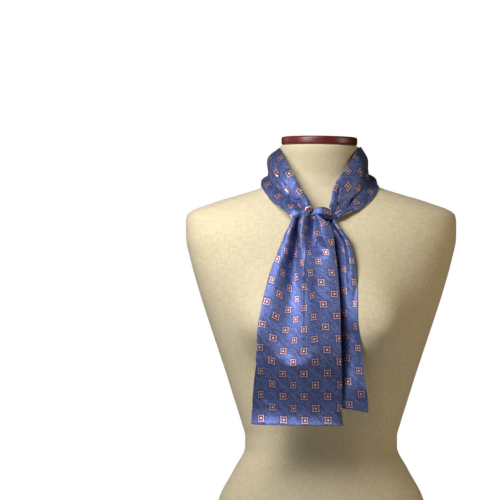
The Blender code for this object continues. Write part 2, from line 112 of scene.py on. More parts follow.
class Table:
    """Rows of named columns in millimetres, which are kept in metres."""

    def __init__(self, columns, rows):
        self.names = columns.split()
        self.rows = np.array(rows, dtype=float) * MM
        self.last = len(rows) - 1

    def read(self, at):
        """Every column after the first, at places along the first."""
        return monotone_curve(self.rows[:, 0], self.rows[:, 1:], at)

    def named(self, at):
        """Every column after the first by its name, at places along the first."""
        return dict(zip(self.names[1:], np.moveaxis(self.read(at), -1, 0)))

    def curve(self, names, at):
        """Named columns on a smooth curve through the rows, at 0 for the first row and so on."""
        picked = self.rows[:, [self.names.index(name) for name in names.split()]]
        return curve_through(picked, at)

    def heading(self, names, at, step=0.1):
        """The way that the curve through the named columns runs at a row."""
        ahead = self.curve(names, at + step)
        behind = self.curve(names, at - step)
        return (ahead - behind) / np.linalg.norm(ahead - behind, axis=-1, keepdims=True)


# %% [markdown]
# ## The dress form's sections
# The form is padded and covered smooth, so it has no hard edges below the cap. It could be
# sculpted, but a table of level sections with two soft swells for the bust keeps the exact
# outline of the solid, and the cloth can ask it how far out its surface is. Its neck leans a
# touch to one side, as on most forms that have been carried about.

# %% The form's table and surface
NECK_TOP = 660.7 * MM
BASE_EDGE_ROUND = 6.0 * MM
NECK_EDGE_ROUND = 3.0 * MM
FORM_EDGE_STEPS = 5
FORM_COLUMNS = "height half_width front back squareness"
FORM_SECTIONS = (
    (0, 170.5, 99, 113, 2.25),
    (30, 170.5, 99.5, 114.5, 2.25),
    (65, 167.5, 98.5, 114, 2.25),
    (100, 161, 96.5, 109, 2.2),
    (137.5, 151.3, 93, 100, 2.2),
    (181, 128.4, 89.5, 88, 2.2),
    (213.5, 113, 88, 82, 2.2),
    (228.4, 113, 88, 81, 2.2),
    (248.5, 118.2, 89, 81, 2.2),
    (281, 128.4, 92, 82, 2.2),
    (319.3, 140.4, 98, 84, 2.2),
    (363.4, 155, 106, 86, 2.25),
    (407.7, 169.7, 108.5, 89, 2.3),
    (446, 181.8, 107.5, 92, 2.4),
    (493, 194.7, 101, 94, 2.5),
    (522.5, 200.7, 93.5, 92, 2.5),
    (546, 201.2, 83, 88, 2.4),
    (557.8, 199.2, 76, 84, 2.3),
    (565, 190.4, 71.5, 81, 2.2),
    (572.6, 169.7, 67, 78, 2.15),
    (581.5, 143.2, 61.5, 74.5, 2.1),
    (589, 116.7, 57, 71.5, 2.1),
    (599, 86.7, 52, 67, 2.05),
    (612.8, 62, 51, 60.5, 2),
    (635, 56, 56.5, 53.5, 2),
    (654.5, 58.1, 62.5, 50.5, 2),
    (661, 58.1, 63.5, 50, 2),
)
BUST_HEIGHT = 394.0 * MM
BUST_AZIMUTH = math.radians(33.0)
BUST_SWELL = 38.0 * MM
BUST_SPREAD = math.radians(18.5)
BUST_SPREAD_UP = 62.0 * MM
BUST_SPREAD_DOWN = 46.0 * MM
NECK_ROOT = 600.0 * MM
NECK_SHIFT = -2.6 * MM
NECK_TILT = 0.012
FORM_TABLE = Table(FORM_COLUMNS, FORM_SECTIONS)


def smooth_share(value, low, high):
    """Soft step from 0 to 1 as the value goes from low to high."""
    t = np.clip((value - low) / (high - low), 0.0, 1.0)
    return t * t * (3.0 - 2.0 * t)


def lean(points):
    """Shift and tilt what is at the neck, the more the higher it is."""
    share = smooth_share(points[..., 2], NECK_ROOT, NECK_TOP)
    leaned = points.copy()
    leaned[..., 0] += NECK_SHIFT * share
    leaned[..., 2] -= NECK_TILT * share * points[..., 0]
    return leaned


def form_radius(azimuth, height):
    """Distance of the form's surface from its own axis. Azimuth 0 is the front, 90 is +X."""
    section = FORM_TABLE.named(height)
    squareness = section["squareness"] / MM
    depth = np.where(np.cos(azimuth) > 0.0, section["front"], section["back"])
    across = np.abs(np.sin(azimuth)) / section["half_width"]
    along = np.abs(np.cos(azimuth)) / depth
    radius = (across ** squareness + along ** squareness) ** (-1.0 / squareness)
    rise = height - BUST_HEIGHT
    spread = np.where(rise > 0.0, BUST_SPREAD_UP, BUST_SPREAD_DOWN)
    level = np.exp(-((rise / spread) ** 2))
    for side in (-1.0, 1.0):
        turn = (azimuth - side * BUST_AZIMUTH) / BUST_SPREAD
        radius = radius + BUST_SWELL * level * np.exp(-(turn ** 2))
    return radius


def form_ring(azimuths, height, inset=0.0):
    """Points round the form's surface at a height, or a little inside it."""
    radius = form_radius(azimuths, np.full(azimuths.shape, height)) - inset
    ring = np.stack([radius * np.sin(azimuths), -radius * np.cos(azimuths),
                     np.full(azimuths.shape, height)], axis=-1)
    return lean(ring)


PROBE = 0.5 * MM
CLEARING_ROUNDS = 4


def beyond_form(points):
    """How far each point's distance from the form's axis exceeds the surface's there."""
    share = smooth_share(points[..., 2], NECK_ROOT, NECK_TOP)
    x = points[..., 0] - NECK_SHIFT * share
    y = points[..., 1]
    height = points[..., 2] + NECK_TILT * share * x
    return np.hypot(x, y) - form_radius(np.arctan2(x, -y), height)


def clear_of_form(points, clearance):
    """Move points straight out from the form until each is at least the clearance off it."""
    points = np.array(points, dtype=float)
    for _ in range(CLEARING_ROUNDS):
        excess = beyond_form(points)
        slope = np.empty_like(points)
        for axis in range(3):
            nudged = points.copy()
            nudged[..., axis] += PROBE
            slope[..., axis] = (beyond_form(nudged) - excess) / PROBE
        steepness = np.linalg.norm(slope, axis=-1)
        short = np.maximum(clearance - excess / steepness, 0.0)
        points += slope * (short / steepness)[..., None]
    return points


# %% [markdown]
# ## A small helper for node finishes
# Each finish is a Principled shader with a few nodes in front of it. The helper makes a node,
# sets it and joins it in one line, so a finish reads from top to bottom like a recipe.


# %% Finish helper
class Finish:
    """A material and short ways to add nodes to it."""

    def __init__(self, name, **shader_inputs):
        self.material = bpy.data.materials.new(name)
        self.material.use_nodes = True
        self.tree = self.material.node_tree
        self.shader = self.tree.nodes["Principled BSDF"]
        self.feed(self.shader, **shader_inputs)

    def add(self, kind, **settings):
        """A new node with its settings."""
        node = self.tree.nodes.new(kind)
        for name, value in settings.items():
            setattr(node, name, value)
        return node

    def feed(self, node, **inputs):
        """Set or join a node's inputs. Underscores stand for spaces, and in_1 for a number."""
        for name, value in inputs.items():
            key = int(name[3:]) if name.startswith("in_") else name.replace("_", " ")
            if isinstance(value, bpy.types.NodeSocket):
                self.tree.links.new(value, node.inputs[key])
            else:
                node.inputs[key].default_value = value
        return node

    def measures(self, layer):
        """The two measures that a UV map holds at a point of the piece."""
        place = self.add("ShaderNodeUVMap", uv_map=layer).outputs["UV"]
        split = self.feed(self.add("ShaderNodeSeparateXYZ"), Vector=place)
        return place, split.outputs[0], split.outputs[1]

    def math(self, operation, first, second=0.0, third=0.0):
        """The result of a Math node."""
        node = self.add("ShaderNodeMath", operation=operation)
        return self.feed(node, in_0=first, in_1=second, in_2=third).outputs[0]

    def smooth_step(self, value, low, high, start=0.0, end=1.0):
        """A soft step between two results as the value goes from low to high."""
        node = self.add("ShaderNodeMapRange", interpolation_type="SMOOTHSTEP")
        self.feed(node, Value=value, From_Min=low, From_Max=high, To_Min=start, To_Max=end)
        return node.outputs["Result"]

    def mix(self, factor, below, above, blend="MIX"):
        """One colour over another."""
        node = self.add("ShaderNodeMix", data_type="RGBA", blend_type=blend)
        return self.feed(node, Factor=factor, in_6=below, in_7=above).outputs[2]

    def shade(self, colour, amount):
        """A colour made lighter or darker by a factor."""
        grey = self.feed(self.add("ShaderNodeCombineColor"), Red=amount, Green=amount, Blue=amount)
        return self.mix(1.0, colour, grey.outputs[0], "MULTIPLY")

    def stretch(self, vector, x_scale, y_scale, z_scale=1.0):
        """The same place with its measures stretched."""
        scale = (x_scale, y_scale, z_scale)
        return self.feed(self.add("ShaderNodeMapping"), Vector=vector, Scale=scale).outputs[0]

    def slant(self, over, under, over_scale, under_scale):
        """A place on the slant, from a sum and a difference that are each stretched."""
        x = self.math("MULTIPLY", over, over_scale)
        y = self.math("MULTIPLY", under, under_scale)
        return self.feed(self.add("ShaderNodeCombineXYZ"), X=x, Y=y).outputs[0]

    def noise(self, vector, scale, detail=2.0, roughness=0.5):
        """Soft noise from 0 to 1."""
        node = self.add("ShaderNodeTexNoise")
        self.feed(node, Vector=vector, Scale=scale, Detail=detail, Roughness=roughness)
        return node.outputs["Fac"]

    def bump(self, height, distance, strength=1.0):
        """Raise the surface by a height, and join it to the shader."""
        node = self.add("ShaderNodeBump")
        self.feed(node, Height=height, Distance=distance, Strength=strength)
        self.feed(self.shader, Normal=node.outputs["Normal"])


# %% [markdown]
# ## The printed silk
# The cloth is a light, lustrous blue silk with a small block print: little squares in staggered
# columns. A print belongs to the cloth and not to the room, so it reads the piece's UV map,
# which holds the flat cloth's own width and length in metres. Each square comes from the
# distance to the nearest point of a staggered lattice, and each ring from a soft step. Under the
# print the weave itself shows, as slanting threads, fine ribs and a faint tone on tone lattice.

# %% The silk's finish
COLUMN_PITCH = 16.8 * MM
ROW_PITCH = 33.6 * MM
FIRST_COLUMN = 14.3 * MM
FIRST_ROW = 6.5 * MM
CORNER_FLARE = 0.15
PRINT_WANDER = 0.5 * MM
PRINT_EDGE = 0.38 * MM
BLOCK_EDGE = 8.4 * MM
LATTICE_LINE = 0.7 * MM
RIBS_A_METRE = 1114.0
CLOUD_SCALE = 30.0
SPECK_SCALE = 520.0
THREAD_SCALES = (420.0, 60.0)
SLUB_SCALES = (70.0, 10.0)
GROUND = (0.158, 0.198, 0.450, 1.0)
GROUND_DEEP = (0.110, 0.140, 0.330, 1.0)
HALO = (0.050, 0.064, 0.180, 1.0)
OUTLINE = (0.680, 0.560, 0.640, 1.0)
BRICK = (0.330, 0.058, 0.070, 1.0)
MIDDLE = (0.110, 0.020, 0.040, 1.0)
DOT = (0.760, 0.860, 0.950, 1.0)
RINGS = (
    (5.4 * MM, HALO),
    (4.4 * MM, OUTLINE),
    (3.3 * MM, BRICK),
    (2.15 * MM, MIDDLE),
)
DOT_RADIUS = 1.5 * MM
HEM_WIDTH = 2.3 * MM
STITCH_PITCH = 3.4 * MM


def from_nearest_square(silk, place, across, along):
    """How far a point lies from the middle of the nearest printed square, both ways."""
    wander = silk.math("SUBTRACT", silk.noise(place, 120.0), 0.5)
    drift = silk.math("SUBTRACT", silk.noise(place, 95.0), 0.5)
    across = silk.math("MULTIPLY_ADD", wander, PRINT_WANDER, across)
    along = silk.math("MULTIPLY_ADD", drift, PRINT_WANDER, along)
    column = silk.math("DIVIDE", silk.math("SUBTRACT", across, FIRST_COLUMN), COLUMN_PITCH)
    nearest = silk.math("ROUND", column)
    off_column = silk.math("MULTIPLY", silk.math("SUBTRACT", column, nearest), COLUMN_PITCH)
    drop = silk.math("MULTIPLY", silk.math("FLOORED_MODULO", nearest, 2.0), 0.5)
    row = silk.math("DIVIDE", silk.math("SUBTRACT", along, FIRST_ROW), ROW_PITCH)
    row = silk.math("ADD", row, drop)
    off_row = silk.math("SUBTRACT", row, silk.math("ROUND", row))
    off_row = silk.math("MULTIPLY", off_row, ROW_PITCH)
    over = silk.math("ADD", across, along)
    under = silk.math("SUBTRACT", across, along)
    return silk.math("ABSOLUTE", off_column), silk.math("ABSOLUTE", off_row), over, under


def woven_ground(silk, place, over, under, thready):
    """The blue ground with its threads, its slubs and its twill, all on the slant."""
    slanted = silk.noise(silk.slant(over, under, *SLUB_SCALES), 1.0)
    speckled = silk.noise(place, SPECK_SCALE, detail=3.0)
    twill = silk.math("SINE", silk.math("MULTIPLY", over, 2.0 * math.tau / ROW_PITCH))
    colour = silk.mix(silk.noise(place, CLOUD_SCALE, detail=4.0), GROUND_DEEP, GROUND)
    colour = silk.shade(colour, silk.smooth_step(thready, 0.32, 0.68, 0.72, 1.28))
    colour = silk.shade(colour, silk.smooth_step(slanted, 0.30, 0.70, 0.90, 1.10))
    colour = silk.shade(colour, silk.smooth_step(speckled, 0.32, 0.68, 0.68, 1.32))
    return silk.shade(colour, silk.smooth_step(twill, -1.0, 1.0, 0.95, 1.05))


def printed_squares(silk, colour, x_away, y_away):
    """The tone on tone blocks, and the squares printed in their middles, ring by ring."""
    longer = silk.math("MAXIMUM", silk.math("MAXIMUM", x_away, y_away), 0.1 * MM)
    shorter = silk.math("MINIMUM", x_away, y_away)
    pinch = silk.math("DIVIDE", silk.math("MULTIPLY", shorter, shorter), longer)
    square = silk.math("MULTIPLY_ADD", pinch, -CORNER_FLARE, longer)
    disc = silk.math("SQRT", silk.math("ADD", silk.math("POWER", x_away, 2.0),
                                       silk.math("POWER", y_away, 2.0)))
    diagonal = silk.math("ABSOLUTE", silk.math("SUBTRACT", silk.math("ADD", x_away, y_away),
                                               0.5 * ROW_PITCH))
    lattice = silk.smooth_step(diagonal, LATTICE_LINE, 2.0 * LATTICE_LINE, 1.08, 1.0)
    block = silk.smooth_step(longer, BLOCK_EDGE - PRINT_EDGE, BLOCK_EDGE + PRINT_EDGE, 0.97, 1.04)
    colour = silk.shade(colour, silk.math("MULTIPLY", lattice, block))
    for edge, paint in RINGS:
        inside = silk.smooth_step(square, edge + PRINT_EDGE, edge - PRINT_EDGE)
        colour = silk.mix(inside, colour, paint)
    inside = silk.smooth_step(disc, DOT_RADIUS + PRINT_EDGE, DOT_RADIUS - PRINT_EDGE)
    return silk.mix(inside, colour, DOT)


def silk_finish(name):
    """Blue silk with staggered printed squares and a stitched hem, laid out on the flat cloth.
    Its highlight spreads across the threads, as on any smooth cloth of long fibres."""
    silk = Finish(name, Roughness=0.56, Metallic=0.66, Specular_IOR_Level=0.20,
                  Anisotropic=0.60, Sheen_Weight=0.04, Sheen_Roughness=0.40,
                  Sheen_Tint=(0.62, 0.66, 1.0, 1.0))
    threads = silk.add("ShaderNodeTangent", direction_type="UV_MAP", uv_map="cut")
    silk.feed(silk.shader, Tangent=threads.outputs[0])
    place, across, along = silk.measures("cut")
    x_away, y_away, over, under = from_nearest_square(silk, place, across, along)
    thready = silk.noise(silk.slant(over, under, *THREAD_SCALES), 1.0, detail=3.0)
    colour = woven_ground(silk, place, over, under, thready)
    colour = printed_squares(silk, colour, x_away, y_away)
    ribs = silk.math("SINE", silk.math("MULTIPLY", over, math.tau * RIBS_A_METRE))
    colour = silk.shade(colour, silk.smooth_step(ribs, -1.0, 1.0, 0.93, 1.05))
    _, hem, seam = silk.measures("hem")
    hem_and_highlight = silk.smooth_step(hem, HEM_WIDTH, 0.8 * HEM_WIDTH)
    stitch = silk.math("SINE", silk.math("MULTIPLY", seam, math.tau / STITCH_PITCH))
    dashes = silk.math("MULTIPLY", hem_and_highlight, silk.smooth_step(stitch, 0.1, 0.6))
    # The rolled hem strip is painted lighter here: a painted highlight along the hem, not a colour
    # of the cloth.
    colour = silk.shade(colour, silk.math("MULTIPLY_ADD", hem_and_highlight, 0.16, 1.0))
    colour = silk.shade(colour, silk.math("MULTIPLY_ADD", dashes, -0.34, 1.0))
    silk.feed(silk.shader, Base_Color=colour)
    relief = silk.math("MULTIPLY_ADD", ribs, 0.30, silk.math("MULTIPLY", dashes, -2.5))
    silk.bump(silk.math("ADD", relief, thready), 0.06 * MM, 0.6)
    return silk.material


SILK = silk_finish("printed_silk")
print("printed silk:", len(SILK.node_tree.nodes), "nodes")

# %% [markdown]
# ## Sheets that are cut flat and then draped
# A piece of cloth starts as a flat grid made by one operator. Its UV map takes the cloth's own
# measures, the grid is then laid on the fold lines, and Solidify gives it the thickness of silk,
# more than twice as thick along the narrow rolled hem.

# %% Sheet helpers
SILK_THICKNESS = 0.5 * MM
HEM_THICKNESS = 1.3 * MM
NO_HEM = 10.0 * MM


def join_up(thing, finish, replaced):
    """Link a piece, give it its finish, attach it to the root body and hide the solid parts it
    stands for.
    """
    bpy.context.scene.collection.objects.link(thing)
    thing.data.materials.append(finish)
    thing.data.shade_smooth()
    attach(thing, "root")
    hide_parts(*replaced)
    return thing


def run_lengths(points, axis):
    """Lengths along a grid's rows or columns, from its first point to each."""
    steps = np.linalg.norm(np.diff(points, axis=axis), axis=-1)
    start = np.zeros_like(np.take(steps, [0], axis=axis))
    return np.concatenate([start, np.cumsum(steps, axis=axis)], axis=axis)


def hem_measures(points):
    """Distance to the nearest hemmed edge, and the length along it, for each point of a tail."""
    down = run_lengths(points, 0)
    over = run_lengths(points, 1)
    lower = down[-1] - down
    side = np.minimum(over, over[:, -1:] - over)
    nearest = np.minimum(lower, side)
    return np.stack([np.minimum(nearest, NO_HEM), np.where(lower < side, over, down)], axis=-1)


def draped_sheet(name, points, cut, hem, thickness, hem_thickness):
    """A grid laid on points, with the flat cloth's measures and the hem's as UV maps."""
    along_steps, across_steps = points.shape[0] - 1, points.shape[1] - 1
    shape = bmesh.new()
    maps = [(shape.loops.layers.uv.new("cut"), cut), (shape.loops.layers.uv.new("hem"), hem)]
    made = bmesh.ops.create_grid(
        shape, x_segments=along_steps, y_segments=across_steps, size=1.0
    )
    place = {}
    for vert in made["verts"]:
        place[vert] = (round((vert.co.x + 1.0) * 0.5 * along_steps),
                       round((vert.co.y + 1.0) * 0.5 * across_steps))
    for face in shape.faces:
        for loop in face.loops:
            for layer, measures in maps:
                loop[layer].uv = measures[place[loop.vert]]
    shape.verts.index_update()
    weights = [0.0] * len(place)
    for vert, spot in place.items():
        vert.co = Vector(points[spot])
        weights[vert.index] = float(smooth_share(hem[spot][0], HEM_WIDTH, 0.6 * HEM_WIDTH))
    mesh = bpy.data.meshes.new(name)
    shape.to_mesh(mesh)
    shape.free()
    thing = bpy.data.objects.new(name, mesh)
    group = thing.vertex_groups.new(name="hem")
    for index, weight in enumerate(weights):
        if weight > 0.0:
            group.add([index], weight, "REPLACE")
    solid = thing.modifiers.new("cloth thickness", "SOLIDIFY")
    solid.thickness = hem_thickness
    solid.offset = 0.0
    solid.vertex_group = group.name
    solid.thickness_vertex_group = thickness / hem_thickness
    return thing


# %% [markdown]
# ## Creases
# Between its large folds, silk keeps small soft creases. Each is a line on the flat cloth
# through three marks, with its half width and its depth at each mark: a trough when the depth
# is positive, a ridge when it is negative. Lap makes one side steep, like cloth lapped over.

# %% Crease helper
CREASE_COLUMNS = "u_1 v_1 u_2 v_2 u_3 v_3 half_width depth_1 depth_2 depth_3 lap"
CREASE_STEPS = 24


def crease_push(cut, rows):
    """How far in each point of a sheet is pushed by the creases drawn on its cut."""
    t = np.linspace(0.0, 1.0, CREASE_STEPS + 1)
    through = np.stack([(1.0 - t) * (1.0 - 2.0 * t), 4.0 * t * (1.0 - t), t * (2.0 * t - 1.0)])
    push = np.zeros(cut.shape[:-1])
    for row in rows:
        crease = dict(zip(CREASE_COLUMNS.split(), row))
        marks = np.array([(crease[f"u_{mark}"], crease[f"v_{mark}"]) for mark in (1, 2, 3)]) * MM
        depths = np.array([crease[f"depth_{mark}"] for mark in (1, 2, 3)]) * MM
        half_width = crease["half_width"] * MM
        line = through.T @ marks
        start, way = line[:-1], np.diff(line, axis=0)
        offset = cut[..., None, :] - start
        share = np.clip((offset * way).sum(-1) / (way * way).sum(-1), 0.0, 1.0)
        apart = offset - share[..., None] * way
        distance = np.hypot(apart[..., 0], apart[..., 1])
        side = way[:, 0] * apart[..., 1] - way[:, 1] * apart[..., 0]
        nearest = distance.argmin(-1)[..., None]
        share, side, distance = (
            np.take_along_axis(found, nearest, -1)[..., 0] for found in (share, side, distance)
        )
        place = share + nearest[..., 0]
        width = np.where(side > 0.0, half_width * (1.0 - crease["lap"]), half_width)
        depth = np.interp(place / CREASE_STEPS, (0.0, 0.5, 1.0), depths)
        push += depth * np.exp(-((distance / width) ** 2))
    return push


def outward_normals(points):
    """Unit normals of a grid of points, on the side away from the form."""
    normals = np.cross(np.gradient(points, axis=0), np.gradient(points, axis=1))
    normals /= np.maximum(np.linalg.norm(normals, axis=-1, keepdims=True), 1e-12)
    away = points[..., 0] * normals[..., 0] + points[..., 1] * normals[..., 1]
    return normals * np.where(away.mean() < 0.0, -1.0, 1.0)


REST_GAP = 0.8 * MM


def press_creases(points, cut, rows):
    """Push the creases into a sheet, and keep it clear of the form."""
    creased = points - outward_normals(points) * crease_push(cut, rows)[..., None]
    return clear_of_form(creased, REST_GAP + SILK_THICKNESS)


# %% [markdown]
# ## The two tails
# The tails open out from the knot into long soft folds. Simulated cloth would settle somewhere
# near the photograph but not on it, so each fold line is placed at several heights, and
# the cloth runs smoothly across from line to line. Beside the place of each fold line stands
# where that line is on the flat cloth: how far across, and how far up from the lower hem. In
# the gathers near the knot far more cloth goes into a fold than its outline shows.

# %% The front tail's tables
FRONT_LINES = "hem_1 turn_1 crest_1 valley_1 ridge valley_2 crest_2 turn_2 hem_2"
FRONT_ACROSS = (
    (252, -104.4, -101, -88, -67, -28, -6, 9, 24, 27.6),
    (310, -100.8, -98, -86, -64, -24.5, -5, 9, 25.6, 20),
    (370, -93, -95.6, -84, -56, -21.5, -4, 9, 24.2, 16),
    (420, -84, -90, -77, -50, -22, -5.5, 8.5, 23.6, 13),
    (438, -79, -86.5, -73.5, -45.5, -23.5, -7, 8, 22.8, 11.5),
    (455, -74, -82.2, -71.5, -42.5, -26, -8.5, 8, 21.8, 10),
    (470, -68.8, -78.2, -68.5, -41, -28.5, -8.5, 7.5, 20.8, 9),
    (484, -63, -73.4, -64, -41, -30.5, -7, 8, 19.4, 8),
    (494, -58.7, -69.3, -60.5, -39.5, -31, -7, 9, 18.4, 7),
    (505, -54, -64.9, -57, -38, -31, -8, 8.5, 16.8, 6),
    (515, -50, -60.8, -54, -38, -32, -10, 4, 15.6, 8),
    (526, -46, -57, -52, -38.5, -32.5, -14.5, -1, 14.8, 10),
    (541, -42, -49.2, -45.5, -38.5, -31, -13.5, -4, 9.5, 12.6),
    (553, -40, -44, -41.5, -36, -29, -13.5, -8.5, -2, 0),
    (564, -36, -39, -36.5, -31.5, -25, -13.3, -11.8, -9.5, -8.5),
)
FRONT_BEHIND = (
    (252, 1, 1.5, 2.5, 0.5, 0, 1, 2.5, 10, 15),
    (276, 1.5, 2.5, 3.5, 0.5, 0, 1, 2.5, 6.5, 8),
    (310, 4, 4.5, 5, 2.5, 0, 0.8, 2.5, 7, 10),
    (345, 8, 8, 8, 5, 0, 0.8, 2.5, 8, 12),
    (370, 6.5, 5.5, 5, 6, 0, 0.8, 2.5, 8, 12),
    (395, 5.5, 3.5, 2, 7, 0, 0.8, 2.5, 8, 12),
    (420, 6, 2.6, 0, 8.5, 0, 0.8, 2.5, 7.5, 12),
    (438, 7.5, 3.2, 0, 11, 0, 1, 2, 7, 12),
    (455, 9.5, 4.5, 0, 14.5, 0, 1.5, 2, 6.5, 12),
    (484, 13.5, 5.5, 0, 20, 0.5, 2, 1.5, 6.5, 12),
    (494, 15, 5.5, 0, 22, 0.5, 2.5, 1, 6.5, 12),
    (505, 16.5, 5, 0, 23, 0, 10, 1, 6.5, 12),
    (515, 17, 5, 0, 23, 0, 17, 0.5, 6.5, 11),
    (526, 17, 5, 0, 22, 0, 18.5, 0.5, 6, 9),
    (541, 15, 4, 0, 15, 0.5, 16.5, 0, 3, 5),
    (553, 11, 4, 1, 9, 0.5, 12.5, 0, 0.5, 1),
    (564, 9, 6.5, 4, 7, 2.5, 11, 3, 1.5, 1.5),
)
PLANE_COLUMNS = "height side_1 side_2"
FRONT_PLANE = (
    (252, 151.5, 149.5),
    (262, 145.5, 146),
    (270, 142.5, 144.5),
    (280, 141, 144),
    (290, 141, 144.3),
    (300, 143, 145.2),
    (325, 150, 148),
    (335, 153.2, 149),
    (342, 154.5, 149.2),
    (348, 154.2, 149),
    (358, 152, 148.4),
    (370, 149.2, 147),
    (384, 145.9, 145),
    (400, 142.2, 142.2),
    (420, 137.8, 138.6),
    (455, 130.8, 131.3),
    (484, 125.3, 125.3),
    (505, 121, 121.5),
    (526, 116, 117.5),
    (541, 111.5, 114),
    (553, 107.5, 111.5),
    (564, 103, 107.5),
)
FRONT_ENDS = (
    ("top", 554, 555, 557.5, 560, 563, 563.5, 559.5, 548.5, 540),
    ("bottom", 257.5, 256.8, 256, 255.6, 255.2, 255, 254.6, 253.8, 253.4),
)
FRONT_TUCKS = (4, 4, 4, 4, 4, 6, 1.5, 0, 0)
FRONT_CUT_ACROSS = (
    (252, 0, 3.5, 17, 39, 80, 103, 118, 133, 137),
    (310, 2.5, 6.5, 20, 43, 85, 105, 119, 135.5, 141),
    (370, 4, 8.5, 23, 49.5, 88.5, 107.5, 120, 136.5, 143),
    (420, 1, 6.5, 23, 49, 89, 109.5, 123.5, 139.5, 147),
    (438, -0.5, 5.5, 22.5, 53, 87.5, 110, 124.5, 141.5, 149),
    (455, -2, 5, 20.5, 56.5, 85, 110, 126, 143, 151),
    (470, -2, 5.5, 19.5, 59.5, 83.5, 111.5, 127, 146, 154.5),
    (484, -2, 7, 22, 61, 83, 114.5, 130, 149.5, 158),
    (494, -1.5, 8.5, 23.5, 65, 83, 116, 135, 151, 159.5),
    (505, 0, 9.5, 26, 70.5, 85, 118, 138.5, 152.5, 161),
    (515, 2.5, 13.5, 30, 73.5, 88.5, 122.5, 138.5, 154.5, 162.5),
    (526, 5, 16.5, 30, 76, 94.5, 124, 139, 156.5, 164),
    (541, 14, 24.5, 38, 77.5, 103.5, 132, 143, 159.5, 166),
    (553, 17, 28, 39.5, 72, 102.5, 134.5, 144, 161.5, 168),
    (564, 20, 31.5, 44, 74, 101.5, 129.5, 141.5, 163, 170),
)
FRONT_CUT_UP = (
    (252, -4, -4.5, -6.5, -5, -3, -3.5, -3.5, -3, -3.5),
    (310, 50.5, 50.5, 51, 54, 54.5, 54, 54, 55, 55),
    (370, 110.5, 110.5, 111.5, 117.5, 116.5, 114.5, 114.5, 115.5, 115.5),
    (420, 162, 161.5, 164, 175, 171, 166.5, 167, 167.5, 168),
    (455, 199, 198.5, 201.5, 214, 210.5, 204, 204.5, 206, 205.5),
    (484, 231, 230.5, 234.5, 242, 238, 236, 237, 238.5, 238),
    (505, 255, 254.5, 258.5, 265.5, 264, 261.5, 262.5, 262.5, 262.5),
    (515, 267.5, 266.5, 271.5, 279, 278, 275, 274, 273.5, 274),
    (526, 281, 280, 285, 294.5, 294, 290, 287.5, 286, 286.5),
    (541, 301, 299.5, 305, 319, 316, 308.5, 305.5, 303, 303.5),
    (553, 318, 316, 323.5, 336, 337.5, 324.5, 322.5, 323, 324),
    (564, 334, 334, 345, 355, 355.5, 343.5, 342, 345, 346),
)

# %% The back tail's tables
BACK_LINES = "hem_1 crest_1 valley_1 crest_2 valley_2 crest_3 hem_2"
BACK_ACROSS = (
    (270, -54, -42, -23, -1, 27, 49, 63.9),
    (294, -53, -41, -22.5, -1.5, 26, 48, 62.6),
    (325, -52, -40, -22, -2, 25.5, 46.5, 58),
    (369, -50, -39, -21.5, -2.5, 25.5, 45, 54.4),
    (412, -48, -37, -20.5, -2.5, 25.5, 43.5, 51.2),
    (454, -44, -33, -18, -1.5, 26.5, 42.5, 48.5),
    (489, -33, -25, -12, 1, 27.5, 40.5, 45.6),
    (505, -24, -17.5, -7, 3, 27, 38, 42.5),
    (518, -16, -11, -3, 5.5, 24.5, 34.5, 39),
    (532, -9, -5, 1, 7, 18, 26, 29.5),
    (546, -4, -1, 3.5, 8, 12, 17, 20),
    (558, -6, -3, 1.5, 5, 9, 13, 15),
)
BACK_BEHIND = (
    (270, 3, 0, 4, 0, 4, 0, 2),
    (369, 3, 0, 4.5, 0, 7, 0, 2.5),
    (412, 3, 0, 5, 0, 10, 0, 3),
    (454, 3, 0, 5, 0, 13, 0, 3.5),
    (489, 3, 0, 5, 0, 17, 0, 4.5),
    (518, 3.5, 0, 5, 0, 18, 0, 4.5),
    (532, 3.5, 0, 4.5, 0, 13, 0, 3.5),
    (546, 3, 0, 4, 0, 6, 0, 3),
    (558, 3, 0, 4, 0, 5.5, 0, 3),
)
BACK_PLANE = (
    (270, 128.5, 130),
    (281, 132.5, 135),
    (292, 135.5, 139),
    (304, 136, 139.5),
    (320, 133.8, 137),
    (335, 131.2, 134),
    (360, 127.5, 130),
    (380, 125.2, 127.5),
    (412, 121.5, 124.5),
    (454, 116, 120),
    (489, 109, 114.5),
    (505, 106, 111.5),
    (518, 103, 109),
    (532, 99, 103),
    (546, 93, 96),
    (558, 89, 90),
)
BACK_ENDS = (
    ("top", 557, 557, 557, 557, 557, 557, 557),
    ("bottom", 279.5, 279, 278.8, 278.6, 278.3, 275, 272.2),
)
BACK_TUCKS = (4, 4, 4, 4, 4, 4, 4)
BACK_CUT_ACROSS = (
    (270, 0, 13.5, 34, 60, 103, 126, 141),
    (369, 0, 13, 34, 62, 106, 127, 139.5),
    (454, 0, 13, 36, 66, 109, 128, 139),
    (489, 0, 13, 38, 70, 110.5, 129.5, 139),
    (518, 0, 12, 38, 72, 111, 130, 140),
    (558, 0, 14, 42, 80, 112, 128, 140),
)
BACK_CUT_UP = (
    (270, -8.5, -8.5, -8.5, -8.5, -8.5, -6.5, -6),
    (369, 92, 92, 92, 92, 92, 94.5, 95),
    (412, 137, 137, 137, 137, 137, 141, 142),
    (454, 182.5, 182.5, 182.5, 182.5, 182.5, 185.5, 186),
    (489, 222, 222, 222, 222, 222, 223.5, 224),
    (505, 243, 243, 243, 243, 243, 244.5, 245),
    (518, 260, 260, 260, 260, 260, 260.5, 261),
    (532, 280, 280, 280, 280, 280, 281, 281),
    (558, 318, 318, 318, 318, 318, 318, 318),
)

# %% The tails' shape
TUCK_LENGTH = 9.0 * MM


